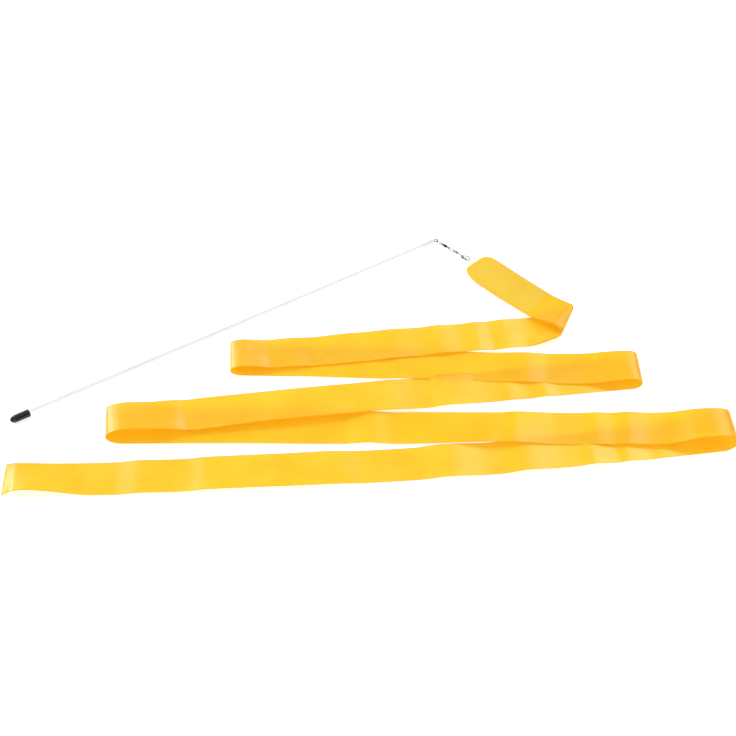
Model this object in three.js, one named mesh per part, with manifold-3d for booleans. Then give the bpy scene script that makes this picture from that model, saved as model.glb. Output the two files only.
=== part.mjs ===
// Rhythmic gymnastics ribbon wand, laid out on a flat surface.
// A tapered stick, two swivels and a snap hook in line, and a 50 mm satin ribbon folded to and fro.
// Millimetres, +Z up. The origin is on the surface, below the middle of the whole layout.
// "Near" is the -Y side of the ribbon and "far" is its +Y side.

import * as THREE from 'three';
import { mergeVertices } from 'three/addons/utils/BufferGeometryUtils.js';
import Module from 'manifold-3d';

const wasm = await Module();
wasm.setup();

// ---- driving dimensions -------------------------------------------------

const GAP = 0.3;                     // clearance between pieces that touch

const RIBBON_WIDTH = 50;
const RIBBON_THICKNESS = 0.6;
const RIBBON_STEP = 14;              // distance between cross sections along a run
const FOLD_STEPS = 10;               // cross sections round a fold
const FOLD_EASE = 60;                // a run's cross sections turn square within this distance of a fold
const TAB_END = [130, 175.5];        // middle of the ribbon's end at the snap hook
const TAB_NEAR_CORNER = [34, 16];    // how far the near corner's rounding reaches, along and across
const TAB_FAR_CORNER = [14, 12];
const LINING_LENGTH = 112;
const LINING_THICKNESS = 0.5;
const LINING_INSET = 1;

const CHAIN_ANGLE = 138;             // degrees, from the tab's end towards the wand's tip
const CHAIN_LENGTH = 62.5;
const CHAIN_HEIGHT = 2.9;

const WAND_LENGTH = 597;             // from the tip eye's centre to the cap's nose
const WAND_ANGLE = 212.9;            // degrees, from the tip towards the butt
const STICK_TIP_RADIUS = 2.1;
const STICK_BUTT_RADIUS = 3.6;
const STICK_START = 9;               // the stick's thin end, measured from the eye's centre
const CAP_LENGTH = 24;
const CAP_NOSE = 6.5;                // length of the rounded taper
const CAP_RADIUS = 4.5;
const CAP_BORE_DEPTH = 16;
const CAP_COLLAR_RADIUS = 4.7;
const CAP_COLLAR_LENGTH = 2;
const FERRULE_START = 4;
const FERRULE_LENGTH = 15;
const FERRULE_RADIUS = 2.9;
const FERRULE_FACE = 1.6;            // thickness of the ferrule's closed front
const TIP_EYE_RADIUS = 2.4;
const TIP_EYE_WIRE = 0.5;

const EYE_RADIUS = 1.4;              // the swivels' small eyes, at the middle of the wire
const EYE_WIRE = 0.4;
const LINK_WIRE = 0.35;
const LINK_BEND = 1.5;               // the links' end bends, at the middle of the wire
const SHANK_RADIUS = 0.45;
const HEAD_RADIUS = 0.85;            // the upset head that keeps a shank in its barrel
const HEAD_LENGTH = 0.6;
const BARREL_WALL = 0.8;             // thickness of a barrel's two ends
const KNUCKLE_RADIUS = 1.25;         // the latch's hinge, on the hook and on the latch's ears
const PIN_RADIUS = 0.35;
const EARS = [-2, 1.2];              // how far down and up the latch's ears reach from the chain's height
const SPRING_RADIUS = 0.92;
const SPRING_WIRE = 0.14;
const SPRING_TURNS = 1.6;

// Places along the chain, measured from the tip eye's centre.
const TIP_LINK = [2.4, 9.1];         // middles of the tip link's two end bends
const TIP_SIDE_EYE = 10.5;
const UPPER_BARREL = [12.6, 18.6];
const LINK_SIDE_EYE = 21.3;
const MIDDLE_LINK = [22.7, 29.9];
const LOWER_EYE = 31.3;
const LOWER_BARREL = [33.2, 37.2];
const LATCH_PIVOT = [44.6, -1.3];    // along the chain and across it
const HOOK_BOW = 56;                 // outermost point of the hook, at the middle of its wire
const HOOK_WIRE = 0.55;
const THREAD_WIRE = 0.35;
const THREAD_BEND = 1.2;

// ---- the ribbon's course ------------------------------------------------

// Where each fold would be if it were a sharp crease, from the tab's fold to the last one.
// reach is how far the near and the far edge stand out in the rounded fold, in plan, and mean
// is the size of a fold of that length with even edges. hold says how long each edge keeps
// its height on the way round: above 1 it stays up longer, then drops more steeply.
const FOLDS = [
  { at: [245, 56.6], mean: 9, reach: [12, 5], hold: [2.2, 2] },
  { at: [-175, -0.9], mean: 13, reach: [13, 13], hold: [1, 1] },
  { at: [326.3, -22.3], mean: 11, reach: [11, 11], hold: [1.2, 1.2] },
  { at: [-316.8, -114.3], mean: 19, reach: [19, 19], hold: [1, 1] },
  { at: [427.5, -123], mean: 16, reach: [16, 16], hold: [1.2, 1.2] },
];
const FREE_END = [-413.6, -197.7];

// How far each run bends sideways at its middle, and how its two edges rise and fall.
// Each entry of heights is x, height of the near edge, height of the far edge.
const RUNS = [
  { bow: 0, heights: [[130, 0.8, 0.8], [175, 0.8, 0.8], [190, 1.9, 1.3], [206, 3, 1.7],
    [213, 5, 2.3], [221, 10, 3.6], [233, 17, 6.8]], keepsRising: true },
  { bow: -1.5, heights: [[233, 7, 0], [222, 4, 0], [205, 1, 0], [180, 0, 0], [150, 0.2, 0.6], [125, 1.4, 0.6],
    [60, 2.1, 1.4], [0, 2, 2.4], [-30, 2.2, 3], [-65, 2, 1.8], [-100, 2.8, 2], [-118, 4, 2.2],
    [-138, 9.5, 5.5], [-154, 12, 8]] },
  { bow: 1, heights: [[-154, 0, 0], [-110, 0.4, 0], [-80, 1.3, 0], [-20, 0.9, 0], [30, 1.4, 0.2],
    [80, 1.5, 0.3], [120, 1.3, 0.6], [200, 1.3, 1.6], [240, 1.7, 2.8], [260, 2.8, 4.6],
    [282, 8, 8.4], [309, 13, 11]] },
  { bow: 2, heights: [[309, 0, 0], [250, 0.3, 0.2], [200, 0, 0], [100, 0.4, 0.1], [40, 2, 1.2],
    [-10, 5, 3.2], [-60, 6, 3.8], [-110, 6.4, 4], [-160, 5.4, 4.2], [-200, 3.8, 4.3],
    [-222, 6.2, 4.8], [-243, 11, 6.4], [-264, 15.6, 9.4], [-287, 18, 11.6]] },
  { bow: 2.8, heights: [[-287, 0, 0], [-220, 0.4, 0], [-150, 0.8, 0.2], [-60, 0.2, 0], [10, 0.4, 0.6],
    [60, 1.8, 2.2], [100, 4.4, 2.4], [140, 6, 2.8], [185, 3.4, 3.2], [225, 2.3, 3.4],
    [265, 3.3, 4.2], [305, 3.9, 5.2], [340, 6, 6.6], [360, 11.6, 9.6], [381, 17.6, 13],
    [402, 20, 14.5]] },
  { bow: -15, heights: [[402, 0, 0], [300, 0.8, 0.5], [240, 1, 0.5], [160, 0.4, 0], [80, 0, 0],
    [0, 0.8, 0.6], [-60, 2.6, 3.4], [-110, 4.2, 4], [-170, 3.6, 3.2], [-230, 1.8, 1.4],
    [-280, 0.6, 0.2], [-315, 1, 0], [-340, 4.8, 0.2], [-365, 9.4, 0.8], [-386, 11.8, 2],
    [-401, 10.4, 2.4], [-414, 3, 1]] },
];

// ---- plain geometry helpers ---------------------------------------------

const radians = THREE.MathUtils.degToRad;
const plus = (a, b, scale) => [a[0] + b[0] * scale, a[1] + b[1] * scale];
const dot = (a, b) => a[0] * b[0] + a[1] * b[1];

function unit(a) {
  const size = Math.hypot(a[0], a[1]);
  return [a[0] / size, a[1] / size];
}

function heading(from, to) {
  return unit(plus(to, from, -1));
}

function signedVolume(geometry) {
  const p = geometry.attributes.position;
  const corners = [new THREE.Vector3(), new THREE.Vector3(), new THREE.Vector3()];
  let volume = 0;
  for (let i = 0; i < geometry.index.count; i += 3) {
    corners.forEach((corner, k) => corner.fromBufferAttribute(p, geometry.index.getX(i + k)));
    volume += corners[0].dot(corners[1].cross(corners[2])) / 6;
  }
  return volume;
}

// A closed geometry with shared vertices and its faces pointing out.
function closed(source) {
  const bare = source.clone();
  bare.deleteAttribute('normal');
  bare.deleteAttribute('uv');
  const geometry = mergeVertices(bare, 1e-4);
  if (signedVolume(geometry) < 0) {
    const order = Array.from(geometry.index.array);
    for (let i = 0; i < order.length; i += 3) {
      [order[i], order[i + 1]] = [order[i + 1], order[i]];
    }
    geometry.setIndex(order);
  }
  return geometry;
}

function solid(source) {
  const geometry = closed(source);
  return new wasm.Manifold(new wasm.Mesh({
    numProp: 3,
    vertProperties: new Float32Array(geometry.attributes.position.array),
    triVerts: new Uint32Array(geometry.index.array),
  }));
}

function geometryOf(manifold) {
  const mesh = manifold.getMesh();
  const geometry = new THREE.BufferGeometry();
  geometry.setAttribute('position', new THREE.BufferAttribute(mesh.vertProperties, 3));
  geometry.setIndex(new THREE.BufferAttribute(mesh.triVerts, 1));
  return geometry;
}

function joined(...sources) {
  return geometryOf(sources.map(solid).reduce((sum, next) => sum.add(next)));
}

function cut(source, ...tools) {
  return geometryOf(tools.map(solid).reduce((rest, tool) => rest.subtract(tool), solid(source)));
}

// A turned shape about +X. Each profile point is its place along X and its radius.
function turned(profile, sides = 24) {
  const points = profile.map(([along, radius]) => new THREE.Vector2(radius, along));
  return closed(new THREE.LatheGeometry(points, sides).rotateZ(-Math.PI / 2));
}

// A round section swept once round a closed curve that lies in the XY plane.
function wireLoop(curve, radius, steps = 32, sides = 8) {
  const positions = [];
  const index = [];
  for (let i = 0; i < steps; i++) {
    const centre = curve.getPoint(i / steps);
    const tangent = curve.getTangent(i / steps);
    for (let k = 0; k < sides; k++) {
      const turn = (2 * Math.PI * k) / sides;
      const out = radius * Math.cos(turn);
      positions.push(centre.x + out * tangent.y, centre.y - out * tangent.x, radius * Math.sin(turn));
      const [a, b] = [i * sides + k, i * sides + ((k + 1) % sides)];
      const [c, d] = [a, b].map((v) => (v + sides) % (steps * sides));
      index.push(a, c, b, b, c, d);
    }
  }
  const geometry = new THREE.BufferGeometry();
  geometry.setAttribute('position', new THREE.Float32BufferAttribute(positions, 3));
  geometry.setIndex(index);
  return closed(geometry);
}

// A round wire along an open list of points.
function wire(points, radius, steps, sides = 8) {
  const path = new THREE.CatmullRomCurve3(points.map((p) => new THREE.Vector3(...p)));
  const section = new THREE.Shape().absarc(0, 0, radius, 0, 2 * Math.PI);
  const options = { steps, extrudePath: path, curveSegments: sides, bevelEnabled: false };
  return closed(new THREE.ExtrudeGeometry(section, options));
}

function rod(from, to, radius, sides = 20) {
  return turned([[from, 0], [from, radius], [to, radius], [to, 0]], sides);
}

function upright(radius, low, high, sides = 20) {
  const cylinder = new THREE.CylinderGeometry(radius, radius, high - low, sides);
  return closed(cylinder.rotateX(Math.PI / 2).translate(0, 0, (low + high) / 2));
}

// ---- the ribbon ---------------------------------------------------------

// Each run is a gentle plan curve between two corners, drawn towards one guide point.
function runGuides() {
  const corners = [TAB_END, ...FOLDS.map((fold) => fold.at), FREE_END];
  return RUNS.map((run, i) => {
    const across = heading(corners[i], corners[i + 1]);
    const far = across[0] > 0 ? [-across[1], across[0]] : [across[1], -across[0]];
    const middle = corners[i].map((value, axis) => (value + corners[i + 1][axis]) / 2);
    return { from: corners[i], to: corners[i + 1], guide: plus(middle, far, 2 * run.bow) };
  });
}

// A fold's axis points to the far side. lean is how much further along it the ribbon goes
// for each millimetre outwards, and the runs stop short of the corner where the fold begins.
// An edge that bulges less than the mean begins further out, so that both edges are as long.
function foldShape(fold, before, after) {
  const inward = heading(before.guide, fold.at);
  const outward = heading(fold.at, after.guide);
  const sum = unit(plus(inward, outward, 1));
  const axis = sum[1] > 0 ? sum : [-sum[0], -sum[1]];
  const away = unit(plus(inward, outward, -1));
  const lean = dot(inward, axis) / dot(inward, away);
  const trim = (Math.PI / 2) * fold.mean / dot(inward, away);
  const spread = fold.reach.map((reach) => fold.mean - reach);
  const shift = (spread[0] + spread[1]) / 2;
  const halfLine = (RIBBON_WIDTH / 2) * Math.hypot(1, lean);
  const edges = spread.map((value, side) => plus(
    plus([0, 0], axis, side === 0 ? -halfLine : halfLine), away, value - shift));
  const start = plus(plus(fold.at, inward, -trim), away, shift);
  const end = plus(plus(fold.at, outward, trim), away, shift);
  return { ...fold, axis, away, lean, edges, start, end };
}

// Smooth height between the entries of a run's list, level at its highest and lowest entries
// and at both ends, unless the run keeps its slope into the fold after it.
function heightAt({ heights: list, keepsRising }, x, column) {
  const falling = list[0][0] > list[list.length - 1][0];
  const rows = falling ? [...list].reverse() : list;
  const slope = (i) => (rows[i + 1][column] - rows[i][column]) / (rows[i + 1][0] - rows[i][0]);
  const tangent = (i) => {
    if (i === rows.length - 1 && keepsRising) return slope(i - 1);
    if (i === 0 || i === rows.length - 1) return 0;
    const [before, after] = [slope(i - 1), slope(i)];
    return before * after > 0 ? (2 * before * after) / (before + after) : 0;
  };
  if (x <= rows[0][0]) return rows[0][column];
  if (x >= rows[rows.length - 1][0]) return rows[rows.length - 1][column];
  const i = rows.findIndex((row, k) => x >= row[0] && x <= rows[k + 1][0]);
  const span = rows[i + 1][0] - rows[i][0];
  const t = (x - rows[i][0]) / span;
  const rise = 3 * t * t - 2 * t * t * t;
  const easeIn = (t * t * t - 2 * t * t + t) * span * tangent(i);
  const easeOut = (t * t * t - t * t) * span * tangent(i + 1);
  return rows[i][column] * (1 - rise) + rows[i + 1][column] * rise + easeIn + easeOut;
}

// A cross section: where its near and far edges are in plan, and how high each of them is.
function runSections(run, course, before, after) {
  const begin = before ? before.end : course.from;
  const finish = after ? after.start : course.to;
  const curve = new THREE.QuadraticBezierCurve(
    new THREE.Vector2(...begin), new THREE.Vector2(...course.guide), new THREE.Vector2(...finish));
  const length = curve.getLength();
  const count = Math.ceil(length / RIBBON_STEP);
  const sections = [];
  for (let i = 0; i <= count; i++) {
    const place = curve.getPointAt(i / count).toArray();
    const along = curve.getTangentAt(i / count).toArray();
    const far = along[0] > 0 ? [-along[1], along[0]] : [along[1], -along[0]];
    const travelled = (length * i) / count;
    let skew = 0;
    for (const [fold, distance] of [[before, travelled], [after, length - travelled]]) {
      if (!fold || distance >= FOLD_EASE) continue;
      const line = plus(fold.edges[1], fold.edges[0], -1);
      const foldSkew = dot(line, along) / dot(line, far);
      skew += foldSkew * (1 - THREE.MathUtils.smoothstep(distance, 0, FOLD_EASE));
    }
    const across = plus(far, along, skew);
    sections.push({
      edges: [-RIBBON_WIDTH / 2, RIBBON_WIDTH / 2].map((offset) => plus(place, across, offset)),
      heights: [heightAt(run, place[0], 1), heightAt(run, place[0], 2)],
      travelled,
    });
  }
  return sections;
}

function foldSections(fold, top, bottom) {
  const sections = [];
  for (let i = 1; i < FOLD_STEPS; i++) {
    const turn = (Math.PI * i) / FOLD_STEPS;
    const middle = plus(fold.start, fold.axis, fold.mean * fold.lean * turn);
    const edges = fold.edges.map((edge, side) => plus(
      plus(middle, edge, 1), fold.away, fold.reach[side] * Math.sin(turn)));
    const heights = fold.hold.map((hold, side) => {
      const fallen = ((1 - Math.cos(turn)) / 2) ** hold;
      return top.heights[side] + (bottom.heights[side] - top.heights[side]) * fallen;
    });
    sections.push({ edges, heights });
  }
  return sections;
}

function ribbonSections() {
  const courses = runGuides();
  const folds = FOLDS.map((fold, i) => foldShape(fold, courses[i], courses[i + 1]));
  const runs = RUNS.map((run, i) => runSections(run, courses[i], folds[i - 1], folds[i]));
  const sections = [...roundedTab(runs[0])];
  folds.forEach((fold, i) => {
    const [top, bottom] = [runs[i][runs[i].length - 1], runs[i + 1][0]];
    sections.push(...foldSections(fold, top, bottom), ...runs[i + 1]);
  });
  return sections;
}

// How much a rounded corner takes off the half width at this distance from the end.
function cornerLoss([along, across], distance) {
  if (distance >= along) return 0;
  const t = 1 - distance / along;
  return across * (1 - Math.sqrt(1 - t * t));
}

// The tab's end has extra sections close to it, for its two rounded corners.
function roundedTab(sections) {
  const first = sections[0];
  const towards = heading(first.edges[0], sections[1].edges[0]);
  const early = [0, 1, 2.5, 5, 8.5].map((travelled) => ({
    ...first, travelled, edges: first.edges.map((edge) => plus(edge, towards, travelled)),
  }));
  return [...early, ...sections.slice(1)].map((section) => ({
    ...section,
    nearLoss: cornerLoss(TAB_NEAR_CORNER, section.travelled),
    farLoss: cornerLoss(TAB_FAR_CORNER, section.travelled),
  }));
}

// A band of even thickness through the cross sections, its under side at their heights plus lift.
function band(sections, halfWidth, thickness, lift) {
  const edges = sections.map((section) => {
    const across = plus(section.edges[1], section.edges[0], -1);
    const rise = section.heights[1] - section.heights[0];
    const losses = [section.nearLoss ?? 0, section.farLoss ?? 0];
    return losses.map((loss, side) => {
      const offset = (halfWidth - loss) / RIBBON_WIDTH;
      const part = side === 0 ? 0.5 - offset : 0.5 + offset;
      const height = section.heights[0] + rise * part + lift + thickness / 2;
      return new THREE.Vector3(...plus(section.edges[0], across, part), height);
    });
  });
  const middles = edges.map(([near, far]) => near.clone().add(far).multiplyScalar(0.5));
  const positions = [];
  edges.forEach(([near, far], i) => {
    const before = middles[Math.max(i - 1, 0)];
    const after = middles[Math.min(i + 1, middles.length - 1)];
    const along = after.clone().sub(before);
    const normal = along.cross(far.clone().sub(near)).normalize().multiplyScalar(thickness / 2);
    for (const corner of [near.clone().add(normal), far.clone().add(normal),
      far.clone().sub(normal), near.clone().sub(normal)]) {
      positions.push(...corner.toArray());
    }
  });
  const index = [0, 1, 2, 0, 2, 3];
  for (let i = 0; i < edges.length - 1; i++) {
    for (let k = 0; k < 4; k++) {
      const [a, b] = [i * 4 + k, i * 4 + ((k + 1) % 4)];
      // The under side is split along the same diagonals as the top, so the band stays even.
      if (k === 2) index.push(a, a + 4, b + 4, a, b + 4, b);
      else index.push(a, a + 4, b, b, a + 4, b + 4);
    }
  }
  const last = (edges.length - 1) * 4;
  index.push(last, last + 2, last + 1, last, last + 3, last + 2);
  const geometry = new THREE.BufferGeometry();
  geometry.setAttribute('position', new THREE.Float32BufferAttribute(positions, 3));
  geometry.setIndex(index);
  return closed(geometry);
}

function ribbon() {
  return band(ribbonSections(), RIBBON_WIDTH / 2, RIBBON_THICKNESS, 0);
}

// A second layer sewn under the tab, a little smaller all round.
function tabLining() {
  const [course, nextCourse] = runGuides();
  const fold = foldShape(FOLDS[0], course, nextCourse);
  const sections = roundedTab(runSections(RUNS[0], course, null, fold));
  const under = sections.filter(({ travelled }) => travelled >= LINING_INSET && travelled <= LINING_LENGTH);
  return band(under, RIBBON_WIDTH / 2 - LINING_INSET, LINING_THICKNESS, -GAP - LINING_THICKNESS);
}

// ---- the wand, along +X from its tip ------------------------------------

function stick() {
  const butt = WAND_LENGTH - CAP_LENGTH + CAP_BORE_DEPTH - GAP;
  return turned([[STICK_START, 0], [STICK_START, STICK_TIP_RADIUS], [butt, STICK_BUTT_RADIUS], [butt, 0]]);
}

function endCap() {
  const open = WAND_LENGTH - CAP_LENGTH;
  const bore = STICK_BUTT_RADIUS + GAP;
  const noseStart = WAND_LENGTH - CAP_NOSE;
  const profile = [
    [open + CAP_BORE_DEPTH, 0], [open + CAP_BORE_DEPTH, bore], [open, bore],
    [open, CAP_COLLAR_RADIUS - 0.3], [open + 0.3, CAP_COLLAR_RADIUS],
    [open + CAP_COLLAR_LENGTH, CAP_COLLAR_RADIUS], [open + CAP_COLLAR_LENGTH + 0.4, CAP_RADIUS],
  ];
  for (let i = 0; i <= 6; i++) {
    const turn = (Math.PI / 2) * (i / 6);
    profile.push([noseStart + CAP_NOSE * Math.sin(turn), i === 6 ? 0 : CAP_RADIUS * Math.cos(turn)]);
  }
  return turned(profile);
}

function tipFerrule() {
  const end = FERRULE_START + FERRULE_LENGTH;
  const eyeHole = TIP_EYE_WIRE + GAP;
  const bore = STICK_TIP_RADIUS + GAP + 0.05;
  return turned([
    [FERRULE_START, eyeHole], [FERRULE_START, FERRULE_RADIUS - 0.6], [FERRULE_START + 0.6, FERRULE_RADIUS],
    [end, FERRULE_RADIUS], [end, bore], [FERRULE_START + FERRULE_FACE, bore],
    [FERRULE_START + FERRULE_FACE, eyeHole], [FERRULE_START, eyeHole],
  ]);
}

function tipEye() {
  const ring = new THREE.TorusGeometry(TIP_EYE_RADIUS, TIP_EYE_WIRE, 10, 32);
  const shank = rod(TIP_EYE_RADIUS, STICK_START - GAP, TIP_EYE_WIRE, 12);
  const headStart = FERRULE_START + FERRULE_FACE + GAP;
  const head = rod(headStart, headStart + 1.2, STICK_TIP_RADIUS - GAP, 16);
  return joined(ring, shank, head);
}

// ---- the chain, along +X from the tip eye's centre towards the ribbon ----

function stadium([from, to], bend) {
  const path = new THREE.CurvePath();
  const [low, high] = [-Math.PI / 2, Math.PI / 2];
  path.add(new THREE.EllipseCurve(to, 0, bend, bend, low, high));
  path.add(new THREE.LineCurve(new THREE.Vector2(to, bend), new THREE.Vector2(from, bend)));
  path.add(new THREE.EllipseCurve(from, 0, bend, bend, high, high + Math.PI));
  path.add(new THREE.LineCurve(new THREE.Vector2(from, -bend), new THREE.Vector2(to, -bend)));
  return path;
}

function flatLink(ends) {
  return wireLoop(stadium(ends, LINK_BEND), LINK_WIRE, 36);
}

function uprightLink(ends) {
  return flatLink(ends).rotateX(Math.PI / 2);
}

// A wire eye whose headed shank turns inside a barrel. side is +1 where the shank runs along +X.
function shankEye(centre, barrelEnd, side, standing) {
  const ring = new THREE.TorusGeometry(EYE_RADIUS, EYE_WIRE, 8, 24);
  if (standing) ring.rotateX(Math.PI / 2);
  const headStart = barrelEnd + side * (BARREL_WALL + GAP);
  const headEnd = headStart + side * HEAD_LENGTH;
  const root = centre + side * EYE_RADIUS;
  const shank = rod(Math.min(root, headEnd), Math.max(root, headEnd), SHANK_RADIUS, 12);
  const head = rod(Math.min(headStart, headEnd), Math.max(headStart, headEnd), HEAD_RADIUS, 16);
  return joined(ring.translate(centre, 0, 0), shank, head);
}

// A hollow barrel with a bore in each end for a shank, swelling by belly at its middle.
function barrel([from, to], endRadius, belly) {
  const bore = SHANK_RADIUS + GAP;
  const hollow = HEAD_RADIUS + GAP;
  const profile = [];
  for (let i = 0; i <= 8; i++) {
    const t = i / 8;
    profile.push([from + (to - from) * t, endRadius + belly * Math.sin(Math.PI * t)]);
  }
  profile.push([to, bore], [to - BARREL_WALL, bore], [to - BARREL_WALL, hollow]);
  profile.push([from + BARREL_WALL, hollow], [from + BARREL_WALL, bore], [from, bore], [from, endRadius]);
  return turned(profile, 20);
}

// The hook lies flat: its shank turns in the lower barrel, and its bow goes round the thread loop.
function snapHook() {
  const headEnd = LOWER_BARREL[1] - BARREL_WALL - GAP;
  const shank = rod(headEnd - HEAD_LENGTH, LOWER_BARREL[1] + 2.2, SHANK_RADIUS, 12);
  const head = rod(headEnd - HEAD_LENGTH, headEnd, HEAD_RADIUS, 16);
  const bow = wire([
    [LOWER_BARREL[1] + 1.2, 0, 0], [41, 0, 0], [44.5, 0.2, 0], [48.2, 2.3, 0], [52, 3.4, 0],
    [54.9, 2.5, 0], [HOOK_BOW, 0, 0], [54.9, -2.5, 0], [52.4, -3.3, 0], [50.4, -3.1, 0],
  ], HOOK_WIRE, 44);
  const knuckle = upright(KNUCKLE_RADIUS, -0.5, 0.5).translate(...LATCH_PIVOT, 0);
  const pinHole = upright(PIN_RADIUS + GAP, -1, 1).translate(...LATCH_PIVOT, 0);
  return cut(joined(shank, head, bow, knuckle), pinHole);
}

// The latch lies inside the hook's nose and opens inwards. Its two ears hold the pin.
function latch() {
  const [low, high] = EARS;
  const outline = new THREE.Shape();
  outline.absarc(0, 0, KNUCKLE_RADIUS, radians(50), radians(250));
  outline.lineTo(2.6, -1.75);
  outline.lineTo(3.3, -3.6);
  outline.lineTo(4.3, -3.4);
  outline.lineTo(4.2, -1.85);
  outline.lineTo(5.1, -0.9);
  outline.lineTo(8.3, -0.8);
  outline.lineTo(8.6, -0.4);
  outline.lineTo(8.2, 0);
  outline.lineTo(4, 0);
  const options = { depth: high - low, bevelEnabled: false, curveSegments: 12 };
  const plate = new THREE.ExtrudeGeometry(outline, options).translate(0, 0, low);
  const room = upright(KNUCKLE_RADIUS + 0.5, -1.55, 0.8, 24);
  const pinHole = upright(PIN_RADIUS + GAP, low - 1, high + 1);
  const above = new THREE.BoxGeometry(9, 9, 2).translate(6.6, 0, 0.62 + 1);
  const below = new THREE.BoxGeometry(9, 9, 2).translate(6.6, 0, -0.62 - 1);
  return cut(plate, room, pinHole, above, below).translate(...LATCH_PIVOT, 0);
}

function latchPin() {
  const shaft = upright(PIN_RADIUS, EARS[0] - GAP, EARS[1] + GAP, 12);
  return closed(shaft.translate(...LATCH_PIVOT, 0));
}

// A torsion spring round the pin, under the hook's knuckle.
function latchSpring() {
  const points = [];
  for (let i = 0; i <= 20; i++) {
    const turn = 2 * Math.PI * SPRING_TURNS * (i / 20);
    const height = -1.3 + 0.5 * (i / 20);
    points.push([SPRING_RADIUS * Math.cos(turn), SPRING_RADIUS * Math.sin(turn), height]);
  }
  return wire(points, SPRING_WIRE, 36, 6).translate(...LATCH_PIVOT, 0);
}

// An upright loop of thread from the tab's end, round the hook's bow.
function threadLoop() {
  const end = CHAIN_LENGTH - GAP - THREAD_WIRE;
  const drop = 1.75 - CHAIN_HEIGHT;
  const curve = new THREE.CatmullRomCurve3([
    [HOOK_BOW - THREAD_BEND, 0], [HOOK_BOW - 0.85, -0.85], [HOOK_BOW, -THREAD_BEND],
    [HOOK_BOW + 3, -1.5], [end - 0.3, drop - 0.5], [end, drop], [end - 0.5, drop + 0.5],
    [HOOK_BOW + 3, 0.8], [HOOK_BOW, THREAD_BEND], [HOOK_BOW - 0.85, 0.85],
  ].map(([x, y]) => new THREE.Vector3(x, y, 0)), true, 'centripetal');
  return wireLoop(curve, THREAD_WIRE, 40).rotateX(Math.PI / 2);
}

// ---- materials and assembly ---------------------------------------------

function finish(color, roughness, metalness) {
  return new THREE.MeshStandardMaterial({ color, roughness, metalness });
}

function addPiece(group, name, geometry, material) {
  const mesh = new THREE.Mesh(geometry, material);
  mesh.name = name;
  group.add(mesh);
}

function wandGroup(tip) {
  const group = new THREE.Group();
  const drop = Math.asin((CAP_COLLAR_RADIUS - CHAIN_HEIGHT) / (WAND_LENGTH - CAP_LENGTH));
  group.position.set(...tip, CHAIN_HEIGHT);
  group.rotation.set(0, -drop, radians(WAND_ANGLE), 'ZYX');
  addPiece(group, 'wand_stick', stick(), finish('#f4f4f2', 0.35, 0));
  addPiece(group, 'end_cap', endCap(), finish('#161616', 0.6, 0));
  addPiece(group, 'tip_ferrule', tipFerrule(), finish('#e6e6e4', 0.4, 0));
  addPiece(group, 'tip_eye', tipEye(), finish('#9a9a9c', 0.3, 1));
  return group;
}

function chainGroup(tip) {
  const group = new THREE.Group();
  const steel = finish('#b4b4b8', 0.3, 1);
  group.position.set(...tip, CHAIN_HEIGHT);
  group.rotation.z = radians(CHAIN_ANGLE - 180);
  addPiece(group, 'tip_link', uprightLink(TIP_LINK), steel.clone());
  addPiece(group, 'upper_swivel_tip_eye', shankEye(TIP_SIDE_EYE, UPPER_BARREL[0], 1, false), steel.clone());
  addPiece(group, 'upper_swivel_barrel', barrel(UPPER_BARREL, 1.25, 0.5), finish('#2b2b2d', 0.35, 1));
  addPiece(group, 'upper_swivel_link_eye', shankEye(LINK_SIDE_EYE, UPPER_BARREL[1], -1, true), steel.clone());
  addPiece(group, 'middle_link', flatLink(MIDDLE_LINK), steel.clone());
  addPiece(group, 'lower_swivel_eye', shankEye(LOWER_EYE, LOWER_BARREL[0], 1, true), steel.clone());
  addPiece(group, 'lower_swivel_barrel', barrel(LOWER_BARREL, 1.35, 0.3), finish('#8d8d90', 0.35, 1));
  addPiece(group, 'snap_hook', snapHook(), steel.clone());
  addPiece(group, 'latch', latch(), steel.clone());
  addPiece(group, 'latch_pin', latchPin(), steel.clone());
  addPiece(group, 'latch_spring', latchSpring(), steel.clone());
  addPiece(group, 'thread_loop', threadLoop(), finish('#f2f0ea', 0.8, 0));
  return group;
}

function ribbonWand() {
  const group = new THREE.Group();
  const angle = radians(CHAIN_ANGLE);
  const tip = plus(TAB_END, [Math.cos(angle), Math.sin(angle)], CHAIN_LENGTH);
  const satin = finish('#fdc52c', 0.45, 0);
  group.add(wandGroup(tip), chainGroup(tip));
  addPiece(group, 'ribbon', ribbon(), satin);
  addPiece(group, 'tab_lining', tabLining(), satin.clone());
  return group;
}

export default ribbonWand();
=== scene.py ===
import math

import bmesh
import bpy
import numpy as np
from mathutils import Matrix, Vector


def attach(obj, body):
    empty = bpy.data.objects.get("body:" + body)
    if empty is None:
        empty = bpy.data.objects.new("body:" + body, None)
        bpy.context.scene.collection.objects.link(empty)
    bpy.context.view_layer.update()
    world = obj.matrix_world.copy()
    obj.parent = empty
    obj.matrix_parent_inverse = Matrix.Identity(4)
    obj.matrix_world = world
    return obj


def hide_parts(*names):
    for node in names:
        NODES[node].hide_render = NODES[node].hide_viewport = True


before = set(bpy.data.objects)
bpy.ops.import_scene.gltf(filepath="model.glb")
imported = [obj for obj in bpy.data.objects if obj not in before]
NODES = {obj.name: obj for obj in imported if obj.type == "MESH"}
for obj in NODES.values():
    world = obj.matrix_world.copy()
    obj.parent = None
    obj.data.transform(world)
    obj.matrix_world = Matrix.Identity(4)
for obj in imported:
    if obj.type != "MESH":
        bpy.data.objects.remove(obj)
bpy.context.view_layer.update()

# ---------------------------------------------------------------- camera

CAMERA_AT = Vector((-0.003, -1.732, 1.659))
LOOK_AT = Vector((-0.003, -0.014, 0.0))

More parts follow.
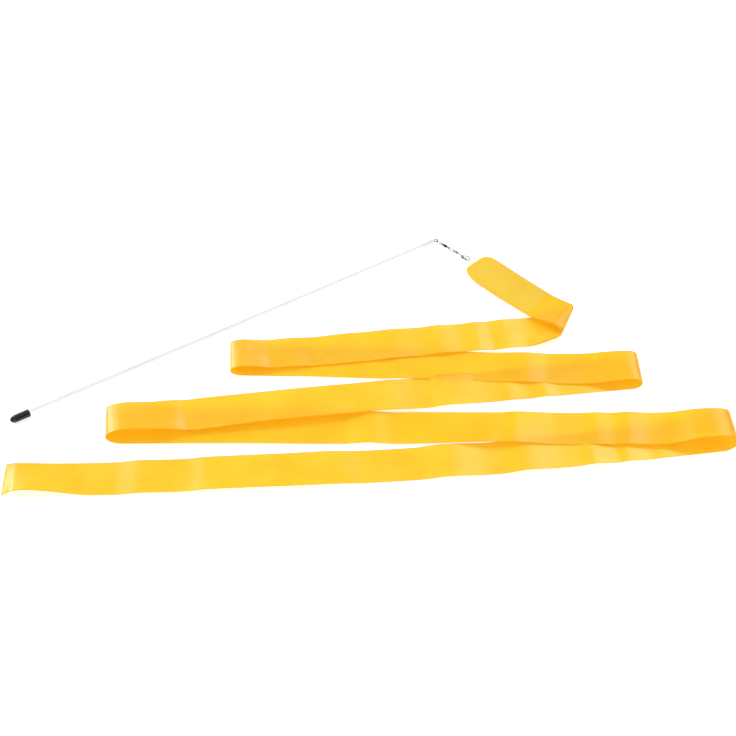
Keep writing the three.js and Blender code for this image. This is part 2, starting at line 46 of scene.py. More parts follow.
camera_data = bpy.data.cameras.new("camera")
camera_data.sensor_width = 36
camera_data.lens = 97.8
camera_data.clip_start = 0.05
camera_data.clip_end = 50
camera = bpy.data.objects.new("camera", camera_data)
camera.location = CAMERA_AT
camera.rotation_euler = (LOOK_AT - CAMERA_AT).to_track_quat("-Z", "Y").to_euler()
bpy.context.scene.collection.objects.link(camera)
bpy.context.scene.camera = camera
bpy.context.scene.view_settings.view_transform = "Standard"

# ---------------------------------------------------------------- the ribbon's course, in mm, as in the CAD

WIDTH = 50.0
CAD_THICKNESS = 0.6
CLOTH = 0.32                  # thickness of the satin
SELVEDGE = 0.9                # width of the tighter woven edge
EDGE_FACES = 3                # round each long edge of a cloth
STEP = 2.5                    # distance between cross sections
FOLD_STEPS = 36
FOLD_EASE = 60.0              # how far from a fold the cross sections begin to turn into its direction
TAB_START_STEPS = (0, 0.15, 0.4, 0.8, 1.4, 2.0)   # closer cross sections, where the corners are round
TAB_END = (130.0, 175.5)
TAB_NEAR_CORNER = (34.0, 16.0)   # length along the tab, loss of width at its end
TAB_FAR_CORNER = (14.0, 12.0)
LINING_LENGTH = 112.0
LINING_INSET = 1.0
LINING_LIFT = -0.55            # middle of the lining, from the ribbon's under side
LINING_CLOTH = 0.46
STITCH_INSET = 3.0
STITCH_PITCH = 2.6
STITCH_LENGTH = 1.9
STITCH_RADIUS = 0.16
STITCH_RINGS = 6
STITCH_SIDES = 6
SEAM_END = 2.0                 # how far the seam stops before the lining's end
EDGE_ROUNDING = 0.07           # of the hard pieces' sharp edges
SHARP_ANGLE = 38               # degrees
FLOOR_REACH = 40               # metres, so that its edge is beyond every view's horizon
FLOOR_DROP = 0.0002            # metres below the object
CHAIN_ANGLE = 138.0            # degrees, from the tab's end towards the wand's tip
CHAIN_LENGTH = 62.5
CHAIN_HEIGHT = 2.9
THREAD_RADIUS = 0.2            # of each of the thread's two strands
THREAD_SPREAD = 0.17           # of the strands from the thread's middle
THREAD_TWISTS = 13
THREAD_STEPS = 14              # between one point of THREAD_LOOP and the next
# the thread's loop seen from the side: along the chain from the wand's tip, and up from its height;
# it goes round the hook's wire, and through the tab a little inside its end
THREAD_LOOP = [(54.8, 0), (55.15, -0.85), (56, -1.2), (59, -1.7), (62, -2.25), (63.7, -2.3),
               (64.2, -1.8), (63.7, -1.25), (62, -0.95), (59, 0.6), (56, 1.2), (55.15, 0.85)]
# at is where a sharp crease would be; reach and hold are for the near and the far edge:
# how far the rounded fold stands out, and how long it keeps its height on the way round
FOLDS = [
    dict(at=(245, 56.6), mean=9, reach=(12, 5), hold=(2.2, 2.0)),
    dict(at=(-175, -0.9), mean=13, reach=(13, 13), hold=(1, 1)),
    dict(at=(326.3, -22.3), mean=11, reach=(11, 11), hold=(1.2, 1.2)),
    dict(at=(-316.8, -114.3), mean=19, reach=(19, 19), hold=(1, 1)),
    dict(at=(427.5, -123), mean=16, reach=(16, 16), hold=(1.2, 1.2)),
]
FREE_END = (-413.6, -197.7)
# shallow swells in the lying cloth, added to both edges: x, height; they give the satin its soft bands
SWELLS = [
    [(130, 0), (175, 0)],
    [(-170, 0), (-140, 0), (-126, 0.8), (-96, 1.8), (-64, 0), (-40, 0), (-8, 0), (30, 1.4), (62, 0.2),
     (84, 1.8), (112, 0.3), (128, 1.4), (148, 0.2), (163, 1.5), (197, 0)],
    [(-75, 0), (20, 0), (34, 1.2), (60, 0.2), (140, 0), (186, 1.6), (214, 0), (300, 0)],
    [(-290, 0), (-262, 0), (-228, 2), (-214, 0.6), (-196, 1.2), (-60, 1), (-24, 0.4), (24, 1.4), (56, 0.3),
     (66, 0.3), (84, 2.6), (150, 0.4), (160, 1.2), (184, 0.2), (204, 1.6), (222, 0), (300, 0)],
    [(-90, 0), (-34, 0), (-2, 2.6), (32, 0), (90, 0), (150, 0), (168, 1.8), (218, 0), (246, 0), (262, 0.9),
     (280, 0.2), (298, 1.6), (322, 0), (356, 0), (376, 1)],
    [(-330, 0), (-290, 0), (-262, 1.9), (-216, 0.2), (-206, 0.2), (-186, 1.4), (-100, 0.3), (-36, 1.3),
     (-6, 0.5), (50, 0.5), (88, 3.2), (138, 0.2), (148, 0.2), (176, 3), (220, 0.8), (236, 1), (252, 2.6),
     (280, 0.6), (292, 1.8), (318, 0.2), (334, 1)],
]
# each run: sideways bow; then x, near edge height and far edge height; and whether the heights
# keep rising at the run's end
RUNS = [
    (0, [(130, 0.8, 0.8), (175, 0.8, 0.8), (190, 1.9, 1.3), (206, 3, 1.7),
         (213, 5, 2.3), (221, 10, 3.6), (233, 17, 6.8)], True),
    (-1.5, [(233, 7, 0), (222, 4, 0), (205, 1, 0), (180, 0, 0), (150, 0.2, 0.6), (125, 1.4, 0.6),
            (60, 2.1, 1.4), (0, 2, 2.4), (-30, 2.2, 3), (-65, 2, 1.8), (-100, 2.8, 2), (-118, 4, 2.2),
            (-138, 9.5, 5.5), (-154, 12, 8)], False),
    (1, [(-154, 0, 0), (-110, 0.4, 0), (-80, 1.3, 0), (-20, 0.9, 0), (30, 1.4, 0.2),
         (80, 1.5, 0.3), (120, 1.3, 0.6), (200, 1.3, 1.6), (240, 1.7, 2.8), (260, 2.8, 4.6),
         (282, 8, 8.4), (309, 13, 11)], False),
    (2, [(309, 0, 0), (250, 0.3, 0.2), (200, 0, 0), (100, 0.4, 0.1), (40, 2, 1.2),
         (-10, 5, 3.2), (-60, 6, 3.8), (-110, 6.4, 4), (-160, 5.4, 4.2), (-200, 3.8, 4.3),
         (-222, 6.2, 4.8), (-243, 11, 6.4), (-264, 15.6, 9.4), (-287, 18, 11.6)], False),
    (2.8, [(-287, 0, 0), (-220, 0.4, 0), (-150, 0.8, 0.2), (-60, 0.2, 0), (10, 0.4, 0.6),
           (60, 1.8, 2.2), (100, 4.4, 2.4), (140, 6, 2.8), (185, 3.4, 3.2), (225, 2.3, 3.4),
           (265, 3.3, 4.2), (305, 3.9, 5.2), (340, 6, 6.6), (360, 11.6, 9.6), (381, 17.6, 13),
           (402, 20, 14.5)], False),
    (-15, [(402, 0, 0), (300, 0.8, 0.5), (240, 1, 0.5), (160, 0.4, 0), (80, 0, 0),
           (0, 0.8, 0.6), (-60, 2.6, 3.4), (-110, 4.2, 4), (-170, 3.6, 3.2), (-230, 1.8, 1.4),
           (-280, 0.6, 0.2), (-315, 1, 0), (-340, 4.8, 0.2), (-365, 9.4, 0.8), (-386, 11.8, 2),
           (-401, 10.4, 2.4), (-414, 3, 1)], False),
]


def vec(*values):
    return np.array(values, float)


def unit(v):
    return v / np.linalg.norm(v)


def smooth(t):
    t = min(max(t, 0.0), 1.0)
    return t * t * (3 - 2 * t)


def courses():
    """Each run's line on the floor: its ends, and the point that its sideways bow is drawn towards."""
    corners = [vec(*TAB_END)] + [vec(*f["at"]) for f in FOLDS] + [vec(*FREE_END)]
    made = []
    for i, (bow, _, _) in enumerate(RUNS):
        d = unit(corners[i + 1] - corners[i])
        far = vec(-d[1], d[0]) if d[0] > 0 else vec(d[1], -d[0])
        guide = (corners[i] + corners[i + 1]) / 2 + far * 2 * bow
        made.append(dict(start=corners[i], end=corners[i + 1], guide=guide))
    return made


def fold_shape(fold, before, after):
    """Where a fold begins and ends between two runs, and how its edges stand out on the way round."""
    at = vec(*fold["at"])
    inward = unit(at - before["guide"])
    outward = unit(after["guide"] - at)
    total = unit(inward + outward)
    axis = total if total[1] > 0 else -total
    away = unit(inward - outward)
    lean = inward @ axis / (inward @ away)
    trim = math.pi / 2 * fold["mean"] / (inward @ away)
    spread = [fold["mean"] - reach for reach in fold["reach"]]
    middle_spread = away * sum(spread) / 2
    half_width = WIDTH / 2 * math.hypot(1, lean)
    edges = [middle + away * (s - sum(spread) / 2) for middle, s in ((-axis * half_width, spread[0]),
                                                                     (axis * half_width, spread[1]))]
    return dict(fold, axis=axis, away=away, lean=lean, near=edges[0], far=edges[1],
                start=at - inward * trim + middle_spread, end=at + outward * trim + middle_spread)


def height_at(rows, x, column, open_end=False):
    """The height in one column of rows at x, on a smooth line that never overshoots the rows."""
    last = rows[-1]
    rows = sorted(rows)
    slopes = [(b[column] - a[column]) / (b[0] - a[0]) for a, b in zip(rows, rows[1:])]

    def tangent(i):
        if i == 0 or i == len(rows) - 1:
            return slopes[min(i, len(slopes) - 1)] if open_end and rows[i] == last else 0.0
        a, b = slopes[i - 1], slopes[i]
        return 2 * a * b / (a + b) if a * b > 0 else 0.0

    if x <= rows[0][0]:
        return rows[0][column]
    if x >= rows[-1][0]:
        return rows[-1][column]
    i = max(k for k in range(len(rows) - 1) if x >= rows[k][0])
    span = rows[i + 1][0] - rows[i][0]
    t = (x - rows[i][0]) / span
    rise = 3 * t * t - 2 * t ** 3
    return (rows[i][column] * (1 - rise) + rows[i + 1][column] * rise
            + (t ** 3 - 2 * t * t + t) * span * tangent(i) + (t ** 3 - t * t) * span * tangent(i + 1))


def run_sections(run, swells, course, before, after):
    """Cross sections along one run, turned towards the folds at its ends."""
    _, heights, open_end = run
    begin = before["end"] if before else course["start"]
    finish = after["start"] if after else course["end"]
    guide = course["guide"]
    table = np.linspace(0, 1, 400)[:, None]
    points = (1 - table) ** 2 * begin + 2 * table * (1 - table) * guide + table ** 2 * finish
    lengths = np.concatenate([[0], np.cumsum(np.linalg.norm(np.diff(points, axis=0), axis=1))])
    length = lengths[-1]
    count = math.ceil(length / STEP)
    made = []
    for i in range(count + 1):
        travelled = length * i / count
        t = np.interp(travelled, lengths, table[:, 0])
        place = (1 - t) ** 2 * begin + 2 * t * (1 - t) * guide + t * t * finish
        along = unit(2 * (1 - t) * (guide - begin) + 2 * t * (finish - guide))
        far = vec(-along[1], along[0]) if along[0] > 0 else vec(along[1], -along[0])
        skew = 0.0
        for fold, distance in ((before, travelled), (after, length - travelled)):
            if fold and distance < FOLD_EASE:
                line = fold["far"] - fold["near"]
                skew += line @ along / (line @ far) * (1 - smooth(distance / FOLD_EASE))
        half = (far + along * skew) * WIDTH / 2
        swell = height_at(swells, place[0], 1)
        made.append(dict(near=place - half, far=place + half, middle=place, travelled=travelled,
                         near_height=height_at(heights, place[0], 1, open_end) + swell,
                         far_height=height_at(heights, place[0], 2, open_end) + swell))
    return made


def fold_sections(fold, top, bottom):
    """Cross sections round a fold, from the end of one run to the start of the next."""
    made = []
    for i in range(1, FOLD_STEPS):
        turn = math.pi * i / FOLD_STEPS
        centre = fold["start"] + fold["axis"] * fold["mean"] * fold["lean"] * turn
        section = {}
        for k, edge in enumerate(("near", "far")):
            left = 1 - ((1 - math.cos(turn)) / 2) ** fold["hold"][k]
            low, high = bottom[edge + "_height"], top[edge + "_height"]
            section[edge] = centre + fold[edge] + fold["away"] * fold["reach"][k] * math.sin(turn)
            section[edge + "_height"] = low + (high - low) * left
        made.append(section)
    return made


def corner_loss(corner, distance):
    """How much of the tab's width a rounded corner takes away, at a distance from the tab's end."""
    if distance >= corner[0]:
        return 0.0
    t = 1 - distance / corner[0]
    return corner[1] * (1 - math.sqrt(1 - t * t))


def rounded_tab(sections):
    """The first run's cross sections, with more of them at the tab's end and its corners rounded."""
    first = sections[0]
    towards = unit(sections[1]["middle"] - first["middle"])
    early = [dict(first, travelled=d, near=first["near"] + towards * d, far=first["far"] + towards * d)
             for d in TAB_START_STEPS]
    made = early + sections[1:]
    return [dict(s, near_loss=corner_loss(TAB_NEAR_CORNER, s["travelled"]),
                 far_loss=corner_loss(TAB_FAR_CORNER, s["travelled"])) for s in made]


COURSES = courses()
SHAPES = [fold_shape(f, COURSES[i], COURSES[i + 1]) for i, f in enumerate(FOLDS)]
RUN_SECTIONS = [run_sections(run, SWELLS[i], COURSES[i],
                             SHAPES[i - 1] if i else None, SHAPES[i] if i < len(FOLDS) else None)
                for i, run in enumerate(RUNS)]
TAB_SECTIONS = rounded_tab(RUN_SECTIONS[0])


def all_sections():
    made = list(TAB_SECTIONS)
    for i, shape in enumerate(SHAPES):
        made += fold_sections(shape, RUN_SECTIONS[i][-1], RUN_SECTIONS[i + 1][0])
        made += RUN_SECTIONS[i + 1]
    return made


# ---------------------------------------------------------------- mesh helpers

def new_object(name, vertices, faces, uvs=None, smooth_shade=True):
    mesh = bpy.data.meshes.new(name)
    mesh.from_pydata([tuple(v) for v in vertices], [], faces)
    if uvs is not None:
        layer = mesh.uv_layers.new(name="cloth")
        for loop in mesh.loops:
            layer.data[loop.index].uv = uvs[loop.vertex_index]
    if smooth_shade:
        mesh.shade_smooth()
    mesh.validate()
    mesh.update()
    obj = bpy.data.objects.new(name, mesh)
    bpy.context.scene.collection.objects.link(obj)
    return obj


def surface_grid(sections, half_width, lift, across):
    """Points of the middle surface, in mm: one row per section, from the near edge to the far edge."""
    rows = []
    for s in sections:
        trim = 1 - half_width / (WIDTH / 2)
        low = trim / 2 + s.get("near_loss", 0) / WIDTH
        high = 1 - trim / 2 - s.get("far_loss", 0) / WIDTH
        row = []
        for t in across:
            place = low + (high - low) * t
            flat = s["near"] + (s["far"] - s["near"]) * place
            height = s["near_height"] + (s["far_height"] - s["near_height"]) * place + lift
            row.append((flat[0], flat[1], height))
        rows.append(row)
    return np.array(rows)


def grid_normals(grid):
    along = np.gradient(grid, axis=0)
    across = np.gradient(grid, axis=1)
    normals = np.cross(along, across)
    return normals / np.maximum(np.linalg.norm(normals, axis=2, keepdims=True), 1e-9)


def thick_sheet(name, grid, thickness):
    """A closed sheet of cloth round a grid of points in mm, with rounded edges. UV is in metres of cloth.
    Slot 0 is the side that faces up where the cloth runs towards +X, slot 1 the other side."""
    normals = grid_normals(grid)
    rows, columns, _ = grid.shape
    steps = np.linalg.norm(np.diff(grid, axis=0), axis=2).mean(axis=1)
    travel = np.concatenate([[0], np.cumsum(steps)]) / 1000
    widths = np.linalg.norm(np.diff(grid, axis=1), axis=2)
    places = (np.concatenate([np.zeros((rows, 1)), np.cumsum(widths, axis=1)], axis=1)
              - widths.sum(axis=1, keepdims=True) / 2) / 1000
    half = thickness / 2
    ring = []
    for c in range(columns):
        ring.append((c, 1.0, 0.0))
    for k in range(1, EDGE_FACES):
        turn = math.pi * k / EDGE_FACES
        ring.append((columns - 1, math.cos(turn), math.sin(turn)))
    for c in reversed(range(columns)):
        ring.append((c, -1.0, 0.0))
    for k in range(1, EDGE_FACES):
        turn = math.pi * k / EDGE_FACES
        ring.append((0, -math.cos(turn), -math.sin(turn)))
    outward = np.gradient(grid, axis=1)
    outward /= np.linalg.norm(outward, axis=2, keepdims=True)
    vertices, uvs = [], []
    for r in range(rows):
        for c, up, out in ring:
            vertices.append((grid[r, c] + normals[r, c] * half * up + outward[r, c] * half * out) / 1000)
            uvs.append((places[r, c] + out * half / 1000, travel[r]))
    size = len(ring)
    faces = []
    for r in range(rows - 1):
        for k in range(size):
            a, b = r * size + k, r * size + (k + 1) % size
            faces.append((a, b, b + size, a + size))
    faces.append(tuple(reversed(range(size))))
    faces.append(tuple(range((rows - 1) * size, rows * size)))
    obj = new_object(name, vertices, faces, uvs)
    sides = [0 if k < columns - 1 else 1 for k in range(size)]
    for polygon in obj.data.polygons:
        polygon.material_index = sides[polygon.index % size] if polygon.index < (rows - 1) * size else 1
    make_outward(obj)
    return obj


def make_outward(obj):
    bm = bmesh.new()
    bm.from_mesh(obj.data)
    bmesh.ops.recalc_face_normals(bm, faces=bm.faces)
    bm.to_mesh(obj.data)
    bm.free()


def twisted_loop(name, path, radius, strands, twists, spread, sides=8):
    """Strands with a round section, twisted round each other along a closed line of points in mm."""
    path = np.array(path, float)
    tangents = np.roll(path, -1, axis=0) - np.roll(path, 1, axis=0)
    tangents /= np.linalg.norm(tangents, axis=1, keepdims=True)
    frames = []
    normal = np.cross(tangents[0], vec(1, 0, 0))     # the line starts upright
    for t in tangents:
        normal = unit(normal - t * (normal @ t))
        frames.append((normal, np.cross(t, normal)))
    vertices, faces = [], []
    count = len(path)
    for strand in range(strands):
        base = len(vertices)
        for i, (n, b) in enumerate(frames):
            phase = 2 * math.pi * (strand / strands + twists * i / count)
            centre = path[i] + spread * (n * math.cos(phase) + b * math.sin(phase))
            for k in range(sides):
                turn = 2 * math.pi * k / sides
                vertices.append((centre + radius * (n * math.cos(turn) + b * math.sin(turn))) / 1000)
        for i in range(count):
            here, there = base + i * sides, base + (i + 1) % count * sides
            for k in range(sides):
                following = (k + 1) % sides
                faces.append((here + k, here + following, there + following, there + k))
    obj = new_object(name, vertices, faces)
    make_outward(obj)
    return obj


# ---------------------------------------------------------------- materials

LIGHT_LET_THROUGH = 0.5
THREAD_STRETCH = (5200, 160, 1)     # of the satin's thread pattern: fine across, long along
PATCH_SHARE = 0.55                  # of dye patches in the satin's pattern, the rest being threads
SELVEDGE_COLOR = (0.92, 0.58, 0.005, 1)
SELVEDGE_ROUGHNESS = 0.55


def material(name, color, roughness=0.5, metallic=0.0, **sockets):
    made = bpy.data.materials.new(name)
    made.use_nodes = True
    shader = made.node_tree.nodes["Principled BSDF"]
    shader.inputs["Base Color"].default_value = (*color, 1)
    shader.inputs["Roughness"].default_value = roughness
    shader.inputs["Metallic"].default_value = metallic
    for socket, value in sockets.items():
        shader.inputs[socket.replace("_", " ")].default_value = value
    return made, made.node_tree, shader


def add(tree, kind, **settings):
    node = tree.nodes.new(kind)
    for key, value in settings.items():
        if key in node.inputs:
            node.inputs[key].default_value = value
        else:
            setattr(node, key, value)
    return node


def ramp(tree, source, stops):
    node = tree.nodes.new("ShaderNodeValToRGB")
    elements = node.color_ramp.elements
    while len(elements) > 1:
        elements.remove(elements[-1])
    for i, (place, color) in enumerate(stops):
        element = elements[0] if i == 0 else elements.new(place)
        element.position = place
        element.color = (*color, 1)
    tree.links.new(source, node.inputs[0])
    return node


def number_ramp(tree, source, low, high):
    node = tree.nodes.new("ShaderNodeMapRange")
    node.inputs["To Min"].default_value = low
    node.inputs["To Max"].default_value = high
    tree.links.new(source, node.inputs["Value"])
    return node


def let_light_through(tree, shader, color):
    """Thin cloth passes a share of the light that falls on its other side."""
    through = add(tree, "ShaderNodeBsdfTranslucent")
    tree.links.new(color, through.inputs["Color"])
    blend = add(tree, "ShaderNodeMixShader")
    blend.inputs[0].default_value = LIGHT_LET_THROUGH
    tree.links.new(shader.outputs[0], blend.inputs[1])
    tree.links.new(through.outputs[0], blend.inputs[2])
    tree.links.new(blend.outputs[0], tree.nodes["Material Output"].inputs["Surface"])


def satin(name, deep, mean, pale, rough_low, rough_high, gloss):
    """Golden satin: long floats of shiny thread along the length, faint dye variation."""
    made, tree, shader = material(name, mean, rough_high, 0, Anisotropic=0.5, Specular_IOR_Level=gloss)
    links = tree.links
    uv = add(tree, "ShaderNodeUVMap", uv_map="cloth")
    tangent = add(tree, "ShaderNodeTangent", direction_type="UV_MAP", uv_map="cloth")
    links.new(tangent.outputs[0], shader.inputs["Tangent"])
    stretch = add(tree, "ShaderNodeMapping")
    stretch.inputs["Scale"].default_value = THREAD_STRETCH
    links.new(uv.outputs[0], stretch.inputs[0])
    threads = add(tree, "ShaderNodeTexNoise", noise_dimensions="2D", Scale=1.0, Detail=2.0)
    links.new(stretch.outputs[0], threads.inputs["Vector"])
    patches = add(tree, "ShaderNodeTexNoise", noise_dimensions="2D", Scale=22.0, Detail=3.0)
    links.new(uv.outputs[0], patches.inputs["Vector"])
    mixed = add(tree, "ShaderNodeMix", data_type="FLOAT")
    mixed.inputs[0].default_value = PATCH_SHARE
    links.new(threads.outputs[0], mixed.inputs[2])
    links.new(patches.outputs[0], mixed.inputs[3])
    color = ramp(tree, mixed.outputs[0], [(0.3, deep), (0.5, mean), (0.7, pale)])
    rough = number_ramp(tree, mixed.outputs[0], rough_low, rough_high)
    # the selvedge is woven tighter: deeper in colour and matt
    parts = add(tree, "ShaderNodeSeparateXYZ")
    links.new(uv.outputs[0], parts.inputs[0])
    from_middle = add(tree, "ShaderNodeMath", operation="ABSOLUTE")
    links.new(parts.outputs[0], from_middle.inputs[0])
    selvedge = number_ramp(tree, from_middle.outputs[0], 0, 1)
    selvedge.inputs["From Min"].default_value = (WIDTH / 2 - SELVEDGE) / 1000
    selvedge.inputs["From Max"].default_value = (WIDTH / 2 - SELVEDGE / 2) / 1000
    edged = add(tree, "ShaderNodeMix", data_type="RGBA")
    edged.inputs[7].default_value = SELVEDGE_COLOR
    links.new(selvedge.outputs[0], edged.inputs[0])
    links.new(color.outputs[0], edged.inputs[6])
    links.new(edged.outputs[2], shader.inputs["Base Color"])
    matt = add(tree, "ShaderNodeMix", data_type="FLOAT")
    matt.inputs[3].default_value = SELVEDGE_ROUGHNESS
    links.new(selvedge.outputs[0], matt.inputs[0])
    links.new(rough.outputs[0], matt.inputs[2])
    links.new(matt.outputs[0], shader.inputs["Roughness"])
    bump = add(tree, "ShaderNodeBump", Strength=0.12, Distance=0.00006)
    links.new(threads.outputs[0], bump.inputs["Height"])
    links.new(bump.outputs[0], shader.inputs["Normal"])
    let_light_through(tree, shader, edged.outputs[2])
    return made


def lining_cloth():
    made, tree, shader = material("lining_cloth", (1.0, 0.92, 0.7), 0.75, 0, Sheen_Weight=0.1)
    coordinates = add(tree, "ShaderNodeUVMap", uv_map="cloth")
    weave = add(tree, "ShaderNodeTexWave", Scale=1400.0, Distortion=0.4)
    tree.links.new(coordinates.outputs[0], weave.inputs["Vector"])
    bump = add(tree, "ShaderNodeBump", Strength=0.3, Distance=0.0001)
    tree.links.new(weave.outputs[1], bump.inputs["Height"])
    tree.links.new(bump.outputs[0], shader.inputs["Normal"])
    color = ramp(tree, weave.outputs[1], [(0.2, (0.95, 0.87, 0.62)), (0.8, (1.0, 0.94, 0.74))])
    tree.links.new(color.outputs[0], shader.inputs["Base Color"])
    let_light_through(tree, shader, color.outputs[0])
    return made


def thread_material(name, low, high):
    made, tree, shader = material(name, high, 0.6, 0, Sheen_Weight=0.2)
    coordinates = add(tree, "ShaderNodeTexCoord")
    fibres = add(tree, "ShaderNodeTexNoise", Scale=2500.0, Detail=3.0)
    tree.links.new(coordinates.outputs["Object"], fibres.inputs["Vector"])
    color = ramp(tree, fibres.outputs[0], [(0.35, low), (0.65, high)])
    tree.links.new(color.outputs[0], shader.inputs["Base Color"])
    bump = add(tree, "ShaderNodeBump", Strength=0.4, Distance=0.0001)
    tree.links.new(fibres.outputs[0], bump.inputs["Height"])
    tree.links.new(bump.outputs[0], shader.inputs["Normal"])
    return made


def speckled(name, low, high, rough_low, rough_high, scale, bump_strength, bump_distance=0.0001,
             metallic=0.0, **sockets):
    """A surface whose colour, gloss and fine relief follow one noise pattern."""
    made, tree, shader = material(name, high, rough_high, metallic, **sockets)
    coordinates = add(tree, "ShaderNodeTexCoord")
    noise = add(tree, "ShaderNodeTexNoise", Scale=scale, Detail=4.0)
    tree.links.new(coordinates.outputs["Object"], noise.inputs["Vector"])
    color = ramp(tree, noise.outputs[0], [(0.3, low), (0.7, high)])
    tree.links.new(color.outputs[0], shader.inputs["Base Color"])
    rough = number_ramp(tree, noise.outputs[0], rough_low, rough_high)
    tree.links.new(rough.outputs[0], shader.inputs["Roughness"])
    bump = add(tree, "ShaderNodeBump", Strength=bump_strength, Distance=bump_distance)
    tree.links.new(noise.outputs[0], bump.inputs["Height"])
    tree.links.new(bump.outputs[0], shader.inputs["Normal"])
    return made


def dress(node, made):
    """Gives a CAD piece its material, smooth shading and slightly rounded sharp edges."""
    obj = NODES[node]
    obj.data.materials.clear()
    obj.data.materials.append(made)
    obj.data.shade_smooth()
    weld = obj.modifiers.new("joined_corners", "WELD")
    weld.merge_threshold = 1e-6
    bevel = obj.modifiers.new("rounded_edges", "BEVEL")
    bevel.width = EDGE_ROUNDING / 1000
    bevel.segments = 2
    bevel.limit_method = "ANGLE"
    bevel.angle_limit = math.radians(SHARP_ANGLE)
    obj.modifiers.new("even_normals", "WEIGHTED_NORMAL")


# ---------------------------------------------------------------- ribbon, lining, stitches

SATIN_BACK = satin("golden_satin_back", (0.96, 0.675, 0.022), (1.0, 0.715, 0.034), (1.0, 0.745, 0.048),
                   0.25, 0.33, 0.5)
SATIN_FACE = satin("golden_satin_face", (0.97, 0.71, 0.032), (1.0, 0.755, 0.051), (1.0, 0.785, 0.07),
                   0.23, 0.31, 0.6)
# painted light: a paler copy of the same satin, used on the lined stretch of the tab to make it read lighter
SATIN_TAB_PAINTED_LIGHTER = satin("golden_satin_tab_painted_lighter", (0.98, 0.76, 0.068), (1.0, 0.8, 0.085), (1.0, 0.83, 0.105),
                  0.25, 0.33, 0.5)
# places across the cloth, closer together near its edges
EDGE_PLACES = [0, 0.012, 0.03, 0.07]
ACROSS = EDGE_PLACES + list(np.linspace(0.13, 0.87, 11)) + [1 - t for t in reversed(EDGE_PLACES)]

sections = all_sections()
ribbon_grid = surface_grid(sections, WIDTH / 2, CAD_THICKNESS / 2, ACROSS)
ribbon = thick_sheet("satin_ribbon", ribbon_grid, CLOTH)
for cloth in (SATIN_BACK, SATIN_FACE, SATIN_TAB_PAINTED_LIGHTER):
    ribbon.data.materials.append(cloth)
# painted light: the lined stretch of the tab gets a paler copy of the satin, which brightens it beyond what
# the lamps give it
lined_rows = sum(s["travelled"] <= LINING_LENGTH for s in TAB_SECTIONS)
faces_in_row = len(ribbon.data.polygons) // (len(sections) - 1)
for polygon in ribbon.data.polygons[:(lined_rows - 1) * faces_in_row]:
    polygon.material_index = 2
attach(ribbon, "ribbon")
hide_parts("ribbon")

under = [s for s in TAB_SECTIONS if LINING_INSET <= s["travelled"] <= LINING_LENGTH]
lining_grid = surface_grid(under, WIDTH / 2 - LINING_INSET, LINING_LIFT, ACROSS)
lining = thick_sheet("tab_backing", lining_grid, LINING_CLOTH)
LINING = lining_cloth()
lining.data.materials.append(LINING)
lining.data.materials.append(LINING)
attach(lining, "ribbon")
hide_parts("tab_lining")


def resampled(line, pitch):
    """Points at an even pitch along a closed line, as many as go round it evenly."""
    line = np.array(list(line) + [line[0]])
    travel = np.concatenate([[0], np.cumsum(np.linalg.norm(np.diff(line, axis=0), axis=1))])
    count = round(travel[-1] / pitch)
    places = np.arange(count) * travel[-1] / count
    return np.stack([np.interp(places, travel, line[:, axis]) for axis in range(3)], axis=1)


def stitches(name, line, pitch, radius):
    """A row of short stitches along a closed line: each rises out of the cloth and dips into it again."""
    places = resampled(line, pitch)
    vertices, faces = [], []
    for i in range(len(places)):
        begin, direction = places[i], unit(places[(i + 1) % len(places)] - places[i])
        side = unit(np.cross(direction, vec(0, 0, 1)))
        for k in range(STITCH_RINGS):
            t = k / (STITCH_RINGS - 1)
            swell = math.sqrt(max(math.sin(math.pi * (0.08 + 0.84 * t)), 0.0))
            centre = begin + direction * STITCH_LENGTH * t + vec(0, 0, radius * (1.4 * swell - 0.8))
            for turn in np.linspace(0, 2 * math.pi, STITCH_SIDES, endpoint=False):
                offset = side * math.cos(turn) + vec(0, 0, math.sin(turn))
                vertices.append((centre + offset * radius * swell) / 1000)
        base = i * STITCH_RINGS * STITCH_SIDES
        for k in range(STITCH_RINGS - 1):
            for j in range(STITCH_SIDES):
                a, b = base + k * STITCH_SIDES + j, base + k * STITCH_SIDES + (j + 1) % STITCH_SIDES
                faces.append((a, b, b + STITCH_SIDES, a + STITCH_SIDES))
        last = base + (STITCH_RINGS - 1) * STITCH_SIDES
        faces.append(tuple(reversed(range(base, base + STITCH_SIDES))))
        faces.append(tuple(range(last, last + STITCH_SIDES)))
    obj = new_object(name, vertices, faces)
    make_outward(obj)
    return obj


sewn = [s for s in TAB_SECTIONS if STITCH_INSET <= s["travelled"] <= LINING_LENGTH - SEAM_END]
sewn_grid = surface_grid(sewn, WIDTH / 2 - STITCH_INSET, (CAD_THICKNESS + CLOTH) / 2, [0, 1])
seam = stitches("tab_seam", list(sewn_grid[:, 0]) + list(sewn_grid[::-1, 1]), STITCH_PITCH, STITCH_RADIUS)
seam.data.materials.append(thread_material("golden_thread", (0.93, 0.4, 0.01), (1.0, 0.5, 0.03)))
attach(seam, "ribbon")


def closed_curve(points, steps):
    """A smooth closed line through points, with steps between one and the next."""
    points = [vec(*p) for p in points]
    count = len(points)
    made = []
    for i in range(count):
        before, start, end, after = (points[(i + k) % count] for k in (-1, 0, 1, 2))
        gaps = [math.sqrt(np.linalg.norm(b - a)) for a, b in ((before, start), (start, end), (end, after))]
        leave = gaps[1] * ((start - before) / gaps[0] - (end - before) / (gaps[0] + gaps[1])
                           + (end - start) / gaps[1])
        arrive = gaps[1] * ((end - start) / gaps[1] - (after - start) / (gaps[1] + gaps[2])
                            + (after - end) / gaps[2])
        for t in np.arange(steps) / steps:
            made.append((2 * t ** 3 - 3 * t * t + 1) * start + (t ** 3 - 2 * t * t + t) * leave
                        + (3 * t * t - 2 * t ** 3) * end + (t ** 3 - t * t) * arrive)
    return made


